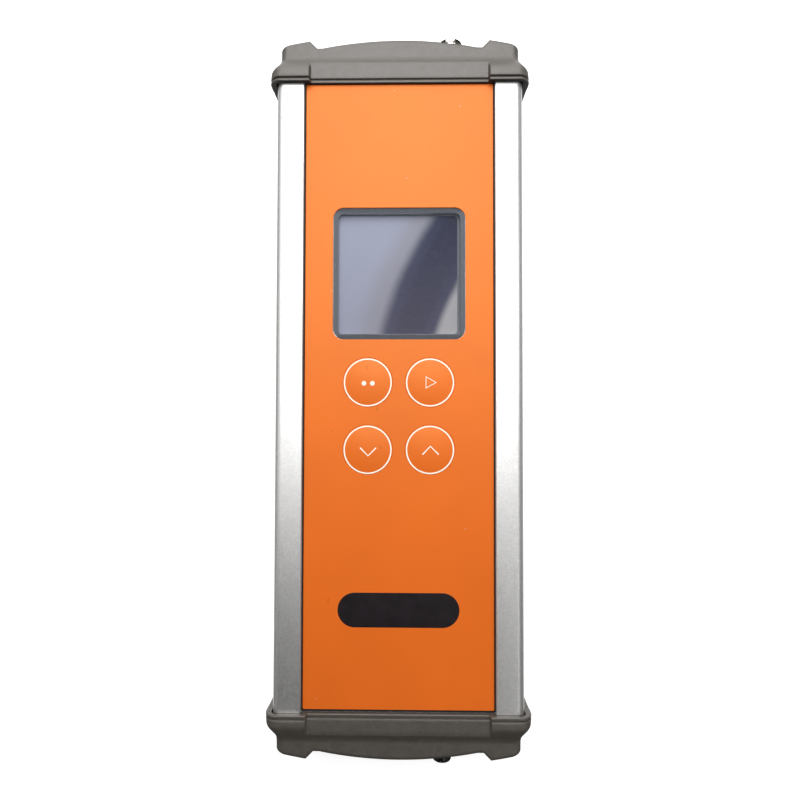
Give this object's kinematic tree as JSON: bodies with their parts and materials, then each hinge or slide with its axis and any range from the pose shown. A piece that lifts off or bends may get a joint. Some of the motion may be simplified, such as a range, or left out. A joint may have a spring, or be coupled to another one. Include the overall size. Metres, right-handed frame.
{
  "type": "chlorophyll fluorescence sensor",
  "caption": "Handheld plant fluorescence meter: aluminium profile with moulded bumpers, membrane keys, square display, fibre light port and charging socket.",
  "frame": {"origin": "under the middle of the instrument, on the surface that it lies on, keypad up", "axes": "+X across the keypad to its right, +Y along the instrument to the fibre port, +Z out of the keypad"},
  "size_m": [0.089, 0.2608, 0.0408],
  "materials": {
    "anodised_aluminium": "natural anodised, fine satin",
    "keypad_orange": "matt printed polyester foil",
    "label_dark": "dark satin film",
    "border_grey": "printed blue-grey",
    "clear_window": "clear hard-coated sheet",
    "display_dark": "unlit liquid crystal glass",
    "bumper_grey": "matt moulded elastomer",
    "seal_black": "soft foam and rubber",
    "spring_steel": "bright",
    "screw_steel": "stainless",
    "nickel_plate": "bright nickel plate",
    "contact_gold": "gold flash",
    "black_plastic": "moulded, glossy",
    "end_plate_grey": "matt powder coat",
    "board_green": "solder mask",
    "board_white": "white solder mask",
    "chip_black": "moulded packages",
    "socket_ivory": "nylon",
    "flex_amber": "polyimide film",
    "battery_blue": "shrink sleeve",
    "block_black": "black anodised",
    "lens_glass": "polished",
    "filter_blue": "interference filter",
    "filter_red": "long-pass filter",
    "mirror_dichroic": "dichroic coating",
    "led_clear": "clear epoxy"
  },
  "bodies": {
    "case": {"profile_body": "anodised_aluminium", "keypad_foil": "keypad_orange", "label_inlay": "label_dark", "window_border": "border_grey", "window_lens": "clear_window", "dome_menu": "spring_steel", "dome_start": "spring_steel", "dome_down": "spring_steel", "dome_up": "spring_steel", "keypad_board": "board_green", "keypad_tail": "flex_amber", "display_gasket": "seal_black", "display_glass": "display_dark", "display_frame": "spring_steel", "display_posts": "contact_gold", "main_board": "board_green", "board_chips": "chip_black", "board_sockets": "socket_ivory", "battery_pack": "battery_blue", "battery_pad": "seal_black", "optical_block": "block_black", "block_screws": "screw_steel", "coupling_lens": "lens_glass", "dichroic_mirror": "mirror_dichroic", "excitation_lens": "lens_glass", "excitation_filter": "filter_blue", "excitation_led": "led_clear", "led_board": "board_white", "emission_filter": "filter_red", "detector": "screw_steel", "detector_board": "board_green", "lens_rings": "block_black", "fibre_port": "nickel_plate", "port_washer": "screw_steel", "port_nut": "nickel_plate", "charge_socket": "black_plastic", "charge_contacts": "contact_gold", "socket_washer": "screw_steel", "socket_nut": "nickel_plate", "top_gasket": "seal_black", "top_plate": "end_plate_grey", "top_screws": "screw_steel", "top_bumper": "bumper_grey", "bottom_gasket": "seal_black", "bottom_plate": "end_plate_grey", "bottom_screws": "screw_steel", "bottom_bumper": "bumper_grey"},
    "key_menu_body": {"key_menu": "keypad_orange"},
    "key_start_body": {"key_start": "keypad_orange"},
    "key_down_body": {"key_down": "keypad_orange"},
    "key_up_body": {"key_up": "keypad_orange"}
  },
  "joints": [
    {"name": "menu_press", "type": "slide", "parent": "case", "child": "key_menu_body", "axis": [0, 0, -1], "range_m": [0, 0.00035], "stiffness_N_per_m": 400, "deforming": ["dome_menu"]},
    {"name": "start_press", "type": "slide", "parent": "case", "child": "key_start_body", "axis": [0, 0, -1], "range_m": [0, 0.00035], "stiffness_N_per_m": 400, "deforming": ["dome_start"]},
    {"name": "down_press", "type": "slide", "parent": "case", "child": "key_down_body", "axis": [0, 0, -1], "range_m": [0, 0.00035], "stiffness_N_per_m": 400, "deforming": ["dome_down"]},
    {"name": "up_press", "type": "slide", "parent": "case", "child": "key_up_body", "axis": [0, 0, -1], "range_m": [0, 0.00035], "stiffness_N_per_m": 400, "deforming": ["dome_up"]}
  ]
}
